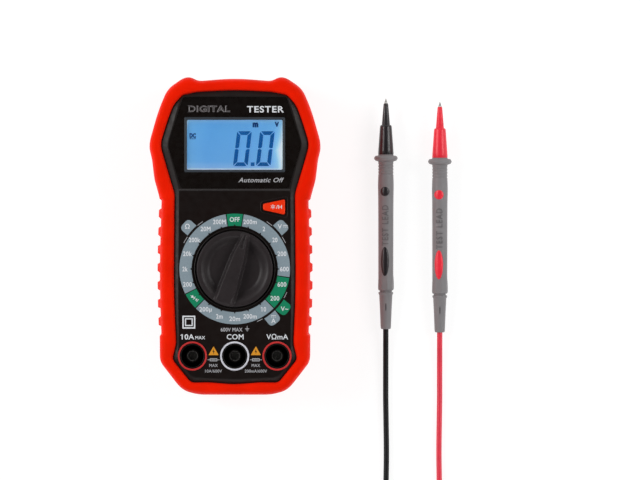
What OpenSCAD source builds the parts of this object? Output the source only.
// Handheld digital multimeter in a rubber holster, lying on its back with two test leads beside it.
// +Z points out of the face, +Y to the display end, and the origin is under the middle of the back.

/* [Body] */
// Height of the face plate above the bench
face_z = 34.2; // [33.8:0.1:34.4]
// Height of the holster's rim above the bench
rim_z = 35; // [34.6:0.1:35.4]
// Height of the joint between the front and rear cases
split_z = 18; // [16:0.5:19]
// Thickness of the rear case's back wall
back_wall = 2; // [1.6:0.1:2.2]
// Height that each grip rib stands out of the holster's side
rib_out = 1.1; // [0.8:0.1:1.4]
// Distance between grip ribs
rib_pitch = 8.1; // [8:0.05:8.1]

/* [Range knob] */
// Distance of the knob's axis below the middle of the meter
dial_drop = 14.8; // [14.5:0.1:15]
// Radius of the knob's skirt
knob_r = 17.1; // [16.5:0.1:17.4]
// Height of the knob's grip above the bench
knob_top = 38; // [37:0.1:38]
// Angle between two range positions
click_deg = 18; // [18:1:18]

/* [Display] */
// Width of the display window
window_w = 42.9; // [42:0.1:43.5]
// Height of the display window
window_h = 22.4; // [22:0.1:23]

/* [Input jacks] */
// Distance between neighbouring jacks
jack_pitch = 19; // [19:1:19]
// Radius of the 4 mm plug's sleeve
jack_bore_r = 2; // [2:1:2]
// Distance of the jacks below the middle of the meter
jack_drop = 53.9; // [53.5:0.1:54.2]

/* [Button] */
// How far the hold button travels
button_travel = 0.8; // [0.5:0.1:0.8]

/* [Tilt stand] */
// Width of the stand
stand_w = 35.8; // [34:0.2:35.8]
// Length of the stand from its hinge to its free end
stand_len = 62.5; // [60:0.5:62.5]

/* [Test leads] */
// Diameter of the lead
lead_d = 2.5; // [2.4:0.05:2.5]
// Radius of a probe's finger guard
guard_r = 5.4; // [5.3:0.05:5.4]
// Tilt of a probe that lies on its guard and its tail
probe_tilt = 1.75; // [1.7:0.05:1.8]
// Number of turns in each stored coil
coil_turns = 8; // [5:1:8]

/* [Hidden] */
$fn = 64;

holster_red = [0.86, 0.08, 0.05];
case_black = [0.09, 0.08, 0.08];
soft_grey = [0.45, 0.44, 0.45];
board_green = [0.10, 0.38, 0.20];
metal = [0.75, 0.75, 0.77];
brass = [0.80, 0.66, 0.30];
lead_black = [0.10, 0.10, 0.11];
lead_red = [0.80, 0.12, 0.18];

dial_y = -dial_drop;
jack_y = -jack_drop;
jack_x = [-jack_pitch, 0, jack_pitch];
window_y = 41;
fit_gap = 0.1;

// Right half of an outline from the top to the bottom: x, y and how much of each corner is blended.
silhouette = [[0, 71.1, 12], [16.4, 69.8, 2], [20, 71.67, 1.8], [23.2, 71.28, 2.5],
  [30.4, 66.3, 3.5], [34.6, 56.4, 6], [38.95, 40.9, 4], [37.4, 34.6, 2], [36.35, 25.6, 2],
  [34.2, 17.9, 1], [34, 16.7, 0.4], [33.1, 16.1, 0.4], [33.75, -6, 6], [33.88, -18, 6],
  [33.7, -30, 6], [33.2, -44.1, 0.4], [33.95, -45, 0.4], [33.9, -50, 1], [33.85, -56.5, 2.5],
  [23.8, -69.5, 4], [16.4, -71.5, 3], [0, -71.5, 2]];
// The holster's front opening, corner for corner with the silhouette.
mouth = [[0, 65.9, 12], [16.6, 65, 2], [20, 64.4, 1.2], [23.4, 63.7, 1.5], [27.8, 59.2, 3],
  [30.6, 51.6, 4], [33.8, 41.2, 3], [32, 34.6, 1], [29.4, 25.6, 2], [27.5, 19.3, 2],
  [27.4, 17, 0.5], [27.4, 16.1, 0.5], [27.6, -6, 4], [27.7, -18, 4], [27.5, -30, 4],
  [26.9, -43.6, 0.6], [26.8, -45.4, 0.6], [26.75, -48.4, 1], [28.35, -55.4, 1.6],
  [19.8, -66.1, 2], [12, -66, 2], [0, -66.9, 4]];
// The flat of the face inside its bevel, corner for corner with the silhouette.
face_flat = [[0, 63.1, 6], [10, 63, 1], [18, 62.9, 1], [23.5, 62.8, 1], [26, 56.5, 2],
  [27.8, 50, 2], [30.5, 41, 2.5], [28.7, 34.8, 1], [26.4, 26.2, 2], [25.1, 20.7, 1.5],
  [25.1, 17, 0.5], [25.1, 16.1, 0.5], [25.3, -6, 4], [25.4, -18, 4], [25.4, -30, 4],
  [25.2, -43, 0.6], [25.2, -45, 0.6], [25.2, -49, 1], [25.7, -54.6, 2], [19.6, -63.6, 2.5],
  [12, -64, 2], [0, -64.6, 4]];
// The recess that holds the display panel.
panel_edge = [[0, 62.5, 1], [23.2, 62.4, 1], [30, 41, 2], [24.2, 21.4, 1], [0, 21.3, 1]];
// The hold button, all the way round.
button_edge = [[22.6, 16.5, 1], [22.6, 9.5, 1], [12.7, 11.7, 0.8], [12.7, 14.4, 0.8]];

corner_steps = 3;
function xy(v) = [v[0], v[1]];
function corner(a, p, b, d) = let (
    da = min(d, 0.45 * norm(a - p)), db = min(d, 0.45 * norm(b - p)),
    s = p + (a - p) * da / norm(a - p), e = p + (b - p) * db / norm(b - p))
  [for (i = [0:corner_steps]) let (t = i / corner_steps)
    (1 - t) * (1 - t) * s + 2 * t * (1 - t) * p + t * t * e];
function ring(v) = [for (i = [0:len(v) - 1])
  each corner(xy(v[(i + len(v) - 1) % len(v)]), xy(v[i]), xy(v[(i + 1) % len(v)]), v[i][2])];
function both_sides(half) =
  concat(half, [for (i = [len(half) - 2:-1:1]) [-half[i][0], half[i][1], half[i][2]]]);
function mix(a, b, t) = [for (i = [0:len(a) - 1]) a[i] * (1 - t) + b[i] * t];
function at_height(points, z) = [for (p = points) [p[0], p[1], z]];

outer_ring = ring(both_sides(silhouette));
mouth_ring = ring(both_sides(mouth));
flat_ring = ring(both_sides(face_flat));
function inset(t) = mix(outer_ring, mouth_ring, t);
ring_n = len(outer_ring);

// Walls between stacked rings of points; with loop, the last ring joins the first again.
function walls(count, n, loop) = [for (k = [0:count - (loop ? 1 : 2)], i = [0:n - 1]) let (
    a = k * n + (i + 1) % n, b = ((k + 1) % count) * n + (i + 1) % n,
    c = ((k + 1) % count) * n + i, d = k * n + i)
  each [[a, b, c], [a, c, d]]];
// A cap over a ring that is the same on both sides: bars from the right edge to the left.
function cap(first, up) = [for (j = [2:ring_n / 2]) let (
    a = first + j, b = first + j + 1, c = first + (2 - j + ring_n) % ring_n,
    d = first + (3 - j + ring_n) % ring_n)
  each up ? [[a, b, c], [a, c, d]] : [[a, c, b], [a, d, c]]];

module plate(points, z0, z1) translate([0, 0, z0]) linear_extrude(height = z1 - z0)
  polygon(points);
module post(x, y, z0, z1, r) translate([x, y, z0]) cylinder(r = r, h = z1 - z0);
module block(x0, y0, z0, x1, y1, z1) translate([x0, y0, z0]) cube([x1 - x0, y1 - y0, z1 - z0]);
module window(w, h, z0, z1) block(-w / 2, window_y - h / 2, z0, w / 2, window_y + h / 2, z1);
module at_jacks() for (x = jack_x) translate([x, jack_y, 0]) children();

// Case fittings
case_screw_at = [[28, 43], [-28, 43], [9.5, -59], [-9.5, -59]];
board_screw_at = [[22.5, 20.6], [-22.5, 20.6], [23.5, -42.5], [-23.5, -42.5]];
back_z = 1.8;
lip_z = 33;
plate_under = 32;
board_z = 24.8;
board_top = 26.4;
jack_base_z = 14;
well_r = 18.8;
well_z = 32.6;
boss_z = 29.8;
hub_r = 6;

// Holster: a band round the case, with a lip over the front edge and one under the back.
holster_section = [[0, 8], [0, 28], [0.04, 30.6], [0.13, 32.8], [0.28, 34.3], [0.5, rim_z],
  [0.76, rim_z], [0.93, rim_z - 0.35], [1, rim_z - 1], [1, lip_z + fit_gap],
  [0.49, lip_z + fit_gap], [0.49, back_z - fit_gap], [1.5, back_z - fit_gap], [1.5, 0.3],
  [1.44, 0], [0.5, 0], [0.22, 0.7], [0.06, 3]];

function side_x(y) = 33.85 - 0.0008 * (y + 16) * (y + 16);
module grip_rib(side, y) let (x = side_x(y)) rotate([90, 0, 0])
  translate([0, 0, -y]) linear_extrude(height = 4, center = true)
  polygon([[side * (x - 0.6), 7], [side * (x + 0.2), 7], [side * (x + rib_out), 9.5],
    [side * (x + rib_out), 27.5], [side * (x + 0.2), 30], [side * (x - 0.6), 30]]);

module holster() color(holster_red) union() {
  polyhedron(
    points = [for (s = holster_section) each at_height(inset(s[0]), s[1])],
    faces = walls(len(holster_section), ring_n, true));
  for (side = [-1, 1], i = [0:6]) grip_rib(side, 10.1 - i * rib_pitch);
}

module bevel_block() polyhedron(
  points = concat(at_height(inset(0.9), plate_under), at_height(inset(0.98), lip_z),
    at_height(flat_ring, face_z)),
  faces = concat(walls(3, ring_n, false), cap(2 * ring_n, true), cap(0, false)));

module front_case() color(case_black) difference() {
  union() {
    difference() {
      plate(inset(0.51), split_z, lip_z);
      plate(inset(0.84), split_z - 1, plate_under);
    }
    bevel_block();
    post(0, dial_y, boss_z, plate_under + 0.1, 20.6);
    for (p = case_screw_at) post(p[0], p[1], split_z, plate_under + 0.1, 2.9);
    for (p = board_screw_at) post(p[0], p[1], board_top, plate_under + 0.1, 2.3);
  }
  plate(ring(both_sides(panel_edge)), face_z - 0.7, face_z + 1);
  window(window_w + 1.9, window_h + 1.9, plate_under - 1, face_z + 1);
  post(0, dial_y, well_z, face_z + 1, well_r);
  post(0, dial_y, boss_z - 1, face_z + 1, hub_r + 0.05);
  for (i = [0:19]) translate([0, dial_y, boss_z - 0.25]) rotate([0, 90, i * click_deg])
    translate([0, 0, 10]) cylinder(r = 1.1, h = 3);
  translate([0, 0, plate_under - 1]) linear_extrude(height = 5) offset(delta = 0.25)
    polygon(ring(button_edge));
  at_jacks() {
    translate([0, 0, plate_under - 1]) cylinder(r = 5.75, h = 5);
    translate([0, 0, face_z - 0.8]) cylinder(r = 6.6, h = 2);
  }
  for (p = case_screw_at) post(p[0], p[1], split_z - 1, split_z + 8, 1.22);
  for (p = board_screw_at) post(p[0], p[1], board_top - 1, board_top + 4.6, 0.92);
}

// Tilt stand recess and battery compartment in the rear case
hinge_y = 22;
hinge_z = 3.4;
recess_z = 5;
recess_top = recess_z + 1.6;
recess_x = stand_w / 2 + 0.4;
recess_y0 = hinge_y - stand_len - 0.8;
recess_y1 = hinge_y + 1.8;
door_x = 15;
door_y0 = -39;
door_y1 = 15;

module rear_case() color(case_black) difference() {
  union() {
    difference() {
      plate(inset(0.51), back_z, split_z);
      plate(inset(0.84), back_z + back_wall, split_z + 1);
    }
    block(-recess_x - 2.4, recess_y0 - 2, back_z + 0.5, recess_x + 2.4, recess_y1 + 2, recess_top);
    difference() {
      block(-door_x - 1.6, door_y0 - 1.6, recess_z, door_x + 1.6, door_y1 + 1.6, 24);
      block(-door_x, door_y0, recess_z - 1, door_x, door_y1, 25);
    }
    for (p = case_screw_at) post(p[0], p[1], back_z, split_z, 3.8);
  }
  block(-recess_x, recess_y0, back_z - 1, recess_x, recess_y1, recess_z);
  block(-door_x, door_y0, recess_z - 1, door_x, door_y1, 10);
  block(-11.6, door_y1 - 0.5, 18.8, 11.6, door_y1 + 2, 25);
  translate([-recess_x - 1.6, hinge_y, hinge_z]) rotate([0, 90, 0])
    cylinder(r = 1.05, h = 2 * recess_x + 3.2);
  block(-7, recess_y0 - 4.5, back_z - 1, 7, recess_y0 + 1, back_z + 1.4);
  post(0, door_y0 - 0.4, recess_z - 1, 11, 1.22);
  for (p = case_screw_at) {
    post(p[0], p[1], back_z - 1, 8, 2.7);
    post(p[0], p[1], 7, split_z + 1, 1.22);
  }
}

module display_panel() color([0.05, 0.05, 0.05]) difference() {
  plate(ring(both_sides([for (p = panel_edge) [p[0] * 0.996, 41 + (p[1] - 41) * 0.996, p[2]]])),
    face_z - 0.7, face_z - 0.15);
  window(window_w + 1.9, window_h + 1.9, face_z - 2, face_z + 1);
}

label_edge = [[0, 20, 1], [24.6, 20, 1], [24.9, -36, 1], [24.7, -42, 1], [24.7, -49, 1],
  [25.2, -54.5, 2], [19.4, -63.1, 2.5], [12, -63.5, 2], [0, -64, 4]];

module face_label() color([0.08, 0.07, 0.07]) difference() {
  plate(ring(both_sides(label_edge)), face_z, face_z + 0.15);
  post(0, dial_y, face_z - 1, face_z + 1, well_r + 0.2);
  at_jacks() translate([0, 0, face_z - 1]) cylinder(r = 6.7, h = 2);
  translate([0, 0, face_z - 1]) linear_extrude(height = 2) offset(delta = 0.5)
    polygon(ring(button_edge));
}

// Display stack, from the lens down to the board
module lcd_window() color([0.75, 0.85, 0.95, 0.4]) window(window_w, window_h, 32.6, 33.6);
module lcd_bezel() color([0.30, 0.33, 0.36]) difference() {
  window(window_w + 1.8, window_h + 1.8, plate_under, face_z - 0.05);
  window(window_w, window_h, plate_under - 1, face_z + 1);
}
module lcd_glass() color([0.45, 0.68, 0.88]) window(49, 31, 29.2, plate_under);
module backlight() color([0.90, 0.93, 0.95]) window(46, 25, 27.4, 29.2);
module lcd_holder() color([0.88, 0.88, 0.85]) window(49, 28, board_top, 27.4);
module zebra_strips() color([0.85, 0.55, 0.62]) for (side = [-1, 1])
  block(-24, window_y + side * 14.9 - 0.6, board_top, 24, window_y + side * 14.9 + 0.6, 29.2);

module main_board() color(board_green) difference() {
  plate(inset(0.97), board_z, board_top);
  at_jacks() translate([0, 0, board_z - 1]) cylinder(r = 5.8, h = 4);
  for (p = case_screw_at) post(p[0], p[1], board_z - 1, board_top + 1, 3.1);
  for (p = board_screw_at) post(p[0], p[1], board_z - 1, board_top + 1, 1.1);
}

module switch_pads() color(brass) for (r = [8, 10, 12])
  translate([0, dial_y, board_top]) difference() {
    cylinder(r = r + 0.5, h = 0.08);
    translate([0, 0, -1]) cylinder(r = r - 0.5, h = 3);
  }

// Range knob: a dished disc with a tapered grip bar across it, and its hub below
bar_edge = [[0.8, knob_r], [2.7, 6], [3.7, -8], [4, -knob_r]];
knob_rest_deg = 18;
rotor_z = 27.2;
knob_rim = 36.4;

module knob_place() translate([0, dial_y, 0]) rotate([0, 0, -knob_rest_deg]) children();

module grip_bar() intersection() {
  translate([0, 0, well_z + 0.2]) linear_extrude(height = knob_top - well_z - 0.2)
    polygon(concat(bar_edge, [for (i = [len(bar_edge) - 1:-1:0]) [-bar_edge[i][0], bar_edge[i][1]]]));
  rotate_extrude() polygon([[0, well_z], [knob_r - 0.5, well_z], [knob_r - 0.5, knob_rim],
    [knob_r - 1.1, knob_top - 0.5], [knob_r - 1.8, knob_top], [0, knob_top]]);
}

module range_knob() color(case_black) knob_place() difference() {
  union() {
    rotate_extrude() polygon([[0, well_z + 0.2], [knob_r, well_z + 0.2], [knob_r, knob_rim - 1],
      [knob_r - 0.35, knob_rim - 0.25], [knob_r - 1, knob_rim], [knob_r - 1.7, knob_rim - 0.1],
      [knob_r - 2.4, knob_rim - 0.6], [12.6, 34.6], [10, 34], [6, 33.7], [0, 33.6]]);
    grip_bar();
    translate([0, 0, rotor_z]) cylinder(r = hub_r, h = well_z + 0.3 - rotor_z);
  }
  translate([0, 0, knob_top - 0.7]) linear_extrude(height = 2)
    polygon([[0.35, knob_r - 1.6], [0.9, knob_r - 7], [-0.9, knob_r - 7], [-0.35, knob_r - 1.6]]);
}

module contact_rotor() color([0.85, 0.84, 0.80]) knob_place() difference() {
  translate([0, 0, rotor_z]) cylinder(r = 14.5, h = boss_z - 0.2 - rotor_z);
  translate([0, 0, rotor_z - 1]) cylinder(r = hub_r, h = 9);
  for (side = [-1, 1]) translate([side * 11.5, 0, rotor_z + 0.5]) cylinder(r = 1.06, h = 5);
}

module rotor_wipers() color(brass) knob_place() for (r = [8, 10, 12])
  rotate([0, 0, 90 + r * 6]) {
    translate([r - 0.4, -3, rotor_z - 0.2]) cube([0.8, 6, 0.2]);
    translate([r - 0.4, 1.6, rotor_z - 0.6]) cube([0.8, 1, 0.45]);
  }

module detent_springs() color(metal) knob_place() for (side = [-1, 1])
  translate([side * 11.5, 0, rotor_z + 0.5]) difference() {
    cylinder(r = 0.9, h = 0.35);
    translate([0, 0, -1]) cylinder(r = 0.6, h = 3);
  }

module detent_balls() color(metal) knob_place() for (side = [-1, 1])
  translate([side * 11.5, 0, boss_z - 0.98]) sphere(r = 0.95);

// Hold button
button_top = face_z + 1;
flange_z = plate_under - 0.1;

module hold_button() color([0.90, 0.20, 0.08]) {
  plate(ring(button_edge), flange_z - 0.4, button_top);
  translate([0, 0, flange_z - 0.8]) linear_extrude(height = 0.8) offset(delta = 0.9)
    polygon(ring(button_edge));
  post(18, 13, flange_z - 1, flange_z - 0.5, 1.7);
}

module tact_switch() color([0.20, 0.20, 0.22]) {
  block(15, 10, board_top, 21, 16, 29.4);
  post(18, 13, 29, flange_z - 1 - button_travel - 0.05, 1.75);
}

// Input jacks: an open ring round an inner tube, with a metal sleeve in it
module socket(x) color(case_black) translate([x, jack_y, 0]) rotate_extrude()
  polygon([[jack_bore_r + 0.35, jack_base_z], [5.7, jack_base_z], [5.7, face_z - 0.1],
    [5.35, face_z + 0.2], [5, face_z - 0.1], [5, jack_base_z + 2], [3.1, jack_base_z + 2],
    [3.1, 31.2], [2.9, 31.5], [jack_bore_r + 0.35, 31.5]]);
module sleeve(x) color(metal) translate([x, jack_y, 0]) rotate_extrude()
  polygon([[0, jack_base_z], [jack_bore_r + 0.35, jack_base_z], [jack_bore_r + 0.35, 31],
    [jack_bore_r, 31], [jack_bore_r, jack_base_z + 1], [0, jack_base_z + 1]]);
module jack_ring(x) translate([x, jack_y, face_z - 0.8]) rotate_extrude()
  polygon([[5.75, 0], [6.55, 0], [6.55, 1], [6.35, 1.2], [5.95, 1.2], [5.75, 1]]);

module socket_10a() socket(jack_x[0]);
module socket_common() socket(jack_x[1]);
module socket_volts() socket(jack_x[2]);
module sleeve_10a() sleeve(jack_x[0]);
module sleeve_common() sleeve(jack_x[1]);
module sleeve_volts() sleeve(jack_x[2]);
module jack_rings_red() color([0.78, 0.18, 0.18]) for (x = [jack_x[0], jack_x[2]]) jack_ring(x);
module jack_ring_white() color([0.85, 0.85, 0.88]) jack_ring(jack_x[1]);

// Parts on the back of the board
fuse_z = 20.4;
module along_y(x, y, z, r, len) translate([x, y, z]) rotate([-90, 0, 0])
  cylinder(r = r, h = len);

module fuses() color([0.90, 0.90, 0.86]) {
  along_y(-22, -41, fuse_z, 3.15, 32);
  along_y(22, -37, fuse_z, 2.6, 20);
}
module fuse_clip(x, y, r) difference() {
  block(x - r - 0.8, y, fuse_z - 2, x + r + 0.8, y + 4.6, board_z);
  along_y(x, y - 1, fuse_z, r + 0.03, 7);
  block(x - r * 0.7, y - 1, fuse_z - 4, x + r * 0.7, y + 6, fuse_z);
}
module fuse_clips() color(brass) {
  for (y = [-40.6, -14]) fuse_clip(-22, y, 3.15);
  for (y = [-36.6, -22]) fuse_clip(22, y, 2.6);
}
module shunt_wire() color([0.72, 0.45, 0.25]) {
  for (x = [-13.5, -6.5]) {
    post(x, -45.4, 21, board_z, 0.7);
    translate([x, -45.4, 21]) sphere(r = 0.7);
  }
  translate([-13.5, -45.4, 21]) rotate([0, 90, 0]) cylinder(r = 0.7, h = 7);
}
module main_chip() color([0.12, 0.12, 0.13]) {
  block(5, 39, board_z - 1.8, 19, 53, board_z - 0.2);
  for (i = [-6:6], side = [-1, 1]) {
    translate([12 + i - 0.2, 46 + side * 7.6 - 0.6, board_z - 0.7]) cube([0.4, 1.2, 0.7]);
    translate([12 + side * 7.6 - 0.6, 46 + i - 0.2, board_z - 0.7]) cube([1.2, 0.4, 0.7]);
  }
}
module buzzer() color([0.10, 0.10, 0.11]) difference() {
  post(-13, 45, board_z - 4.5, board_z, 9);
  post(-13, 45, board_z - 5, board_z - 4, 1.5);
}
module board_parts() color([0.55, 0.42, 0.30]) {
  for (x = [12, 18.5, 25]) post(x, 30, board_z - 7, board_z, 2.5);
  for (i = [0:5]) translate([-27 + i * 4, 24, board_z - 1.2]) rotate([-90, 0, 0])
    cylinder(r = 1.2, h = 6.5);
  block(1, 25, board_z - 3.5, 5, 35, board_z);
  post(0, 58, board_z - 3, board_z, 3);
}

// Battery, its snap and leads, and its door
battery_z = 6.8;
module battery() color([0.20, 0.22, 0.28]) {
  block(-13.2, -37, battery_z, 13.2, 9, battery_z + 17.3);
  along_y(-6.3, 8.9, battery_z + 8.7, 2.8, 2.6);
  along_y(6.3, 8.9, battery_z + 8.7, 3.6, 2.6);
}
module battery_snap() color([0.14, 0.14, 0.15]) difference() {
  block(-13, 9.2, battery_z + 1.5, 13, 13.6, battery_z + 16);
  along_y(-6.3, 8, battery_z + 8.7, 2.9, 4);
  along_y(6.3, 8, battery_z + 8.7, 3.7, 4);
}

// Rings of points square to a route that runs mostly level, closed at both ends.
function way(p, i) = let (d = p[min(i + 1, len(p) - 1)] - p[max(i - 1, 0)]) d / norm(d);
function sideways(t) = let (s = cross(t, [0, 0, 1])) s / norm(s);
function tube_rings(p, r, n) = [for (i = [0:len(p) - 1])
  let (t = way(p, i), s = sideways(t), u = cross(s, t))
  for (k = [0:n - 1]) p[i] + r * (cos(360 * k / n) * s + sin(360 * k / n) * u)];
module tube(p, r, n = 8) polyhedron(
  points = tube_rings(p, r, n),
  faces = concat([for (i = [0:len(p) - 2], k = [0:n - 1]) let (
      a = i * n + k, b = i * n + (k + 1) % n, c = (i + 1) * n + (k + 1) % n, d = (i + 1) * n + k)
    each [[a, b, c], [a, c, d]]],
    [for (k = [1:n - 2]) [0, k + 1, k]],
    [for (k = [1:n - 2]) let (e = (len(p) - 1) * n) [e, e + k, e + k + 1]]));

snap_lead = [[9, 13.4, 20], [9.6, 16, 20.2], [11, 18.5, 20.6], [13.4, 20, 21.4], [16, 20.6, 22.6],
  [18, 21, 24.6]];
module battery_wires() for (side = [-1, 1])
  color(side < 0 ? lead_black : lead_red) tube([for (p = snap_lead) [side * p[0], p[1], p[2]]], 0.6);

module battery_door() color(case_black) difference() {
  union() {
    block(-door_x + 0.15, door_y0 + 0.15, recess_z, door_x - 0.15, door_y1 - 0.15, recess_z + 1.4);
    for (x = [-9, 6]) block(x, door_y1 - 3, recess_z + 1.2, x + 3, door_y1 - 0.15, 8);
  }
  post(0, door_y0 + 3.2, recess_z - 1, 8, 1.35);
  post(0, door_y0 + 3.2, recess_z - 1, recess_z + 0.8, 2.5);
}

module screw(x, y, head_z, head_h, head_r, shank_r, tip_z) translate([x, y, 0])
  difference() {
    union() {
      translate([0, 0, head_z]) cylinder(r = head_r, h = head_h);
      translate([0, 0, head_z]) cylinder(r = shank_r, h = tip_z - head_z);
    }
    for (a = [0, 90]) rotate([0, 0, a]) translate([-head_r * 0.6, -0.25, head_z - 1])
      cube([head_r * 1.2, 0.5, 1 + head_h * 0.45]);
  }

module door_screw() color(metal)
  screw(0, door_y0 + 3.2, recess_z + 0.05, 0.75, 2.3, 1.2, 6.7);
module case_screws() color(metal) for (p = case_screw_at)
  screw(p[0], p[1], 6, 2, 2.5, 1.2, split_z + 7);
module board_screws() color(metal) for (p = board_screw_at)
  screw(p[0], p[1], board_z - 1.2, 1.2, 1.7, 0.9, board_top + 4.2);

// Tilt stand: a flat leg on two pins, folded into the back of the rear case
module tilt_stand() color(case_black) difference() {
  union() {
    block(-stand_w / 2, hinge_y - stand_len, 2, stand_w / 2, hinge_y, 4.6);
    translate([-stand_w / 2, hinge_y, hinge_z]) rotate([0, 90, 0]) cylinder(r = 1.4, h = stand_w);
    translate([-recess_x - 1.3, hinge_y, hinge_z]) rotate([0, 90, 0])
      cylinder(r = 1, h = 2 * recess_x + 2.6);
  }
  for (side = [-1, 1]) block(side > 0 ? 4 : -14, hinge_y - stand_len + 6, 1, side > 0 ? 14 : -4,
    hinge_y - 6, 2.8);
}

// Test leads. A probe's own axis starts at the middle of its guard and runs to its tip.
black_guard = [68.3, 35.4, guard_r];
red_guard = [92.9, 33.9, guard_r];
dot_at = [-0.4, -15];
oval_at = [-0.5, -46.9];
cap_base = 1.8;
cap_tip = 25;
barrel_end = -60.2;

module on_probe(guard) translate(guard) rotate([probe_tilt - 90, 0, 0]) children();
module turned(profile) rotate_extrude() polygon(profile);

module tip_cap(guard, tint) color(tint) on_probe(guard) turned([[0.8, cap_base],
  [3.35, cap_base], [3.25, 4], [2.55, 14.7], [2.3, 15.1], [1.85, 15.2], [1.05, cap_tip - 0.3],
  [0.8, cap_tip]]);
module needle(guard) color(metal) on_probe(guard) turned([[0, cap_base], [0.75, cap_base],
  [0.75, cap_tip], [0.45, cap_tip + 1.1], [0.08, cap_tip + 2.3], [0, cap_tip + 2.3]]);

inlay_r = 3.72;
module inlay_shapes() intersection() {
  turned([[2.9, -56], [inlay_r, -56], [inlay_r, -10], [2.9, -10]]);
  union() {
    translate([dot_at[0], 0, dot_at[1]]) rotate([90, 0, 0]) cylinder(r = 2.1, h = 5);
    translate([oval_at[0], 0, oval_at[1]]) rotate([90, 0, 0]) linear_extrude(height = 5)
      polygon([for (a = [0:15:345]) [1.85 * cos(a), 6.5 * sin(a)]]);
  }
}
ribs = [for (i = [0:3]) each [[3.45, -2.6 - i * 1.4], [3.28, -2.85 - i * 1.4],
  [3.28, -3.05 - i * 1.4], [3.45, -3.3 - i * 1.4]]];
module grip(guard) color(soft_grey) on_probe(guard) difference() {
  turned(concat([[0, cap_base], [3.5, cap_base], [3.55, 1.25], [4.5, 1.2], [5.1, 0.85],
    [guard_r, 0], [5.1, -0.85], [4.5, -1.2], [3.6, -1.4], [3.45, -1.8]], ribs,
    [[3.5, -9], [3.6, -12.5], [3.5, -18], [3.45, -30], [3.42, -52], [3.5, -57], [3.5, -59.6],
    [3.35, barrel_end], [0, barrel_end]]));
  inlay_shapes();
}
module inlays(guard, tint) color(tint) on_probe(guard) inlay_shapes();
module boot(guard) color(soft_grey) on_probe(guard) turned([[0, barrel_end],
  [2.85, barrel_end], [2.85, -60.9], [3.35, -61], [3.35, -61.8], [3, -62.2],
  [2.35, -77.3], [2.15, -77.8], [0, -77.8]]);

// The black lead's way from its boot to its coil, and from its coil to its plug.
lead_run = [[68.3, -41, 3], [68.3, -47, 2.7], [68.3, -53, 2.1], [68.3, -60, 1.5],
  [68.3, -67, 1.3], [68.3, -74, 1.3], [68.4, -81, 1.3], [68.5, -88, 1.3], [68.6, -95, 1.3],
  [68.6, -102, 1.3], [68.5, -109, 1.3], [68.4, -116, 1.3], [68.3, -123, 1.3],
  [68.3, -130, 1.3]];
lead_tail = [[70.8, -137, 3.75], [70.8, -142, 3.9], [70.8, -147, 4.4], [70.8, -152, 5],
  [70.8, -157, 5.2], [70.8, -160, 5.2]];
coil_mid_r = 5.5 * lead_d;
coil_at = [50.8, -137];
coil_across = 4;
coil_layers = ceil(coil_turns / coil_across);
plug_at = [70.8, -157, 5.2];
mirror_x = black_guard[0] + red_guard[0];
function other_side(p) = [for (v = p) [mirror_x - v[0], v[1], v[2]]];
module on_red_side() translate([mirror_x, 0, 0]) mirror([1, 0, 0]) children();

module cord_run(tint, run, tail) color(tint) {
  tube(run, lead_d / 2);
  tube(tail, lead_d / 2);
}
module coil() translate([coil_at[0], coil_at[1], 0]) turned(let (
    a = coil_mid_r - coil_across * lead_d / 2, b = coil_mid_r + coil_across * lead_d / 2,
    h = coil_layers * lead_d)
  [[a, 0.5], [a + 0.5, 0], [b - 0.5, 0], [b, 0.5], [b, h - 0.5], [b - 0.5, h], [a + 0.5, h],
    [a, h - 0.5]]);
module tie() let (x = coil_at[0] - coil_mid_r, w = coil_across * lead_d / 2 + 0.1,
    h = coil_layers * lead_d) difference() {
  union() {
    block(x - w - 0.6, coil_at[1] - 1.3, 0, x + w + 0.6, coil_at[1] + 1.3, h + 0.7);
    block(x - 2, coil_at[1] - 1.9, h, x + 2, coil_at[1] + 1.9, h + 2);
  }
  block(x - w, coil_at[1] - 2.5, 0.3, x + w, coil_at[1] + 2.5, h);
}
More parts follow.
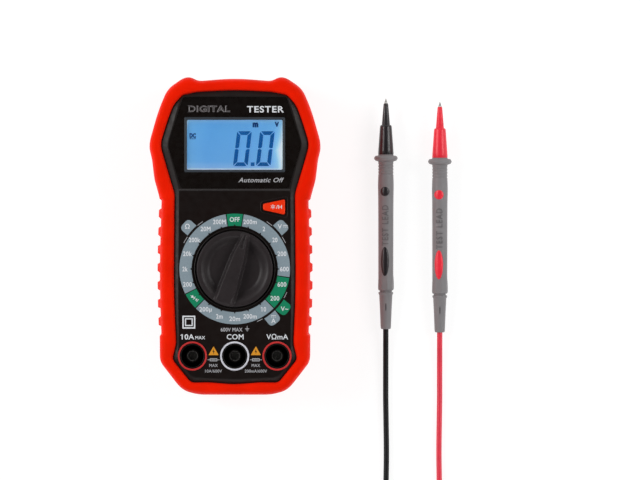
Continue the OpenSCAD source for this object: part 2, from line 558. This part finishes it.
module plug() translate(plug_at) rotate([90, 0, 0]) turned([[0, 0], [1.9, 0], [2.1, 0.4],
  [3.4, 10.5], [3.7, 11.4], [4.9, 12.4], [5.2, 13.2], [5.2, 30], [4.9, 31], [4.7, 31.2],
  [4.7, 51.6], [4.5, 52], [3.5, 52], [3.4, 51.6], [3.4, 33], [jack_bore_r, 33],
  [jack_bore_r, 49.4], [1.5, 50.2], [0, 50.4]]);

module black_tip_cap() tip_cap(black_guard, lead_black);
module black_needle() needle(black_guard);
module black_grip() grip(black_guard);
module black_inlays() inlays(black_guard, lead_black);
module black_boot() boot(black_guard);
module black_cord_run() cord_run(lead_black, lead_run, lead_tail);
module black_coil() color(lead_black) coil();
module black_tie() color([0.9, 0.9, 0.88]) tie();
module black_plug() color(lead_black) plug();
module red_tip_cap() tip_cap(red_guard, lead_red);
module red_needle() needle(red_guard);
module red_grip() grip(red_guard);
module red_inlays() inlays(red_guard, lead_red);
module red_boot() boot(red_guard);
module red_cord_run() cord_run(lead_red, other_side(lead_run), other_side(lead_tail));
module red_coil() color(lead_red) on_red_side() coil();
module red_tie() color([0.9, 0.9, 0.88]) on_red_side() tie();
module red_plug() color(lead_red) on_red_side() plug();

holster();
front_case();
rear_case();
display_panel();
face_label();
lcd_window();
lcd_bezel();
lcd_glass();
backlight();
lcd_holder();
zebra_strips();
main_board();
switch_pads();
range_knob();
contact_rotor();
rotor_wipers();
detent_springs();
detent_balls();
hold_button();
tact_switch();
socket_10a();
socket_common();
socket_volts();
sleeve_10a();
sleeve_common();
sleeve_volts();
jack_rings_red();
jack_ring_white();
fuses();
fuse_clips();
shunt_wire();
main_chip();
buzzer();
board_parts();
battery();
battery_snap();
battery_wires();
battery_door();
door_screw();
case_screws();
board_screws();
tilt_stand();
black_tip_cap();
black_needle();
black_grip();
black_inlays();
black_boot();
black_cord_run();
black_coil();
black_tie();
black_plug();
red_tip_cap();
red_needle();
red_grip();
red_inlays();
red_boot();
red_cord_run();
red_coil();
red_tie();
red_plug();
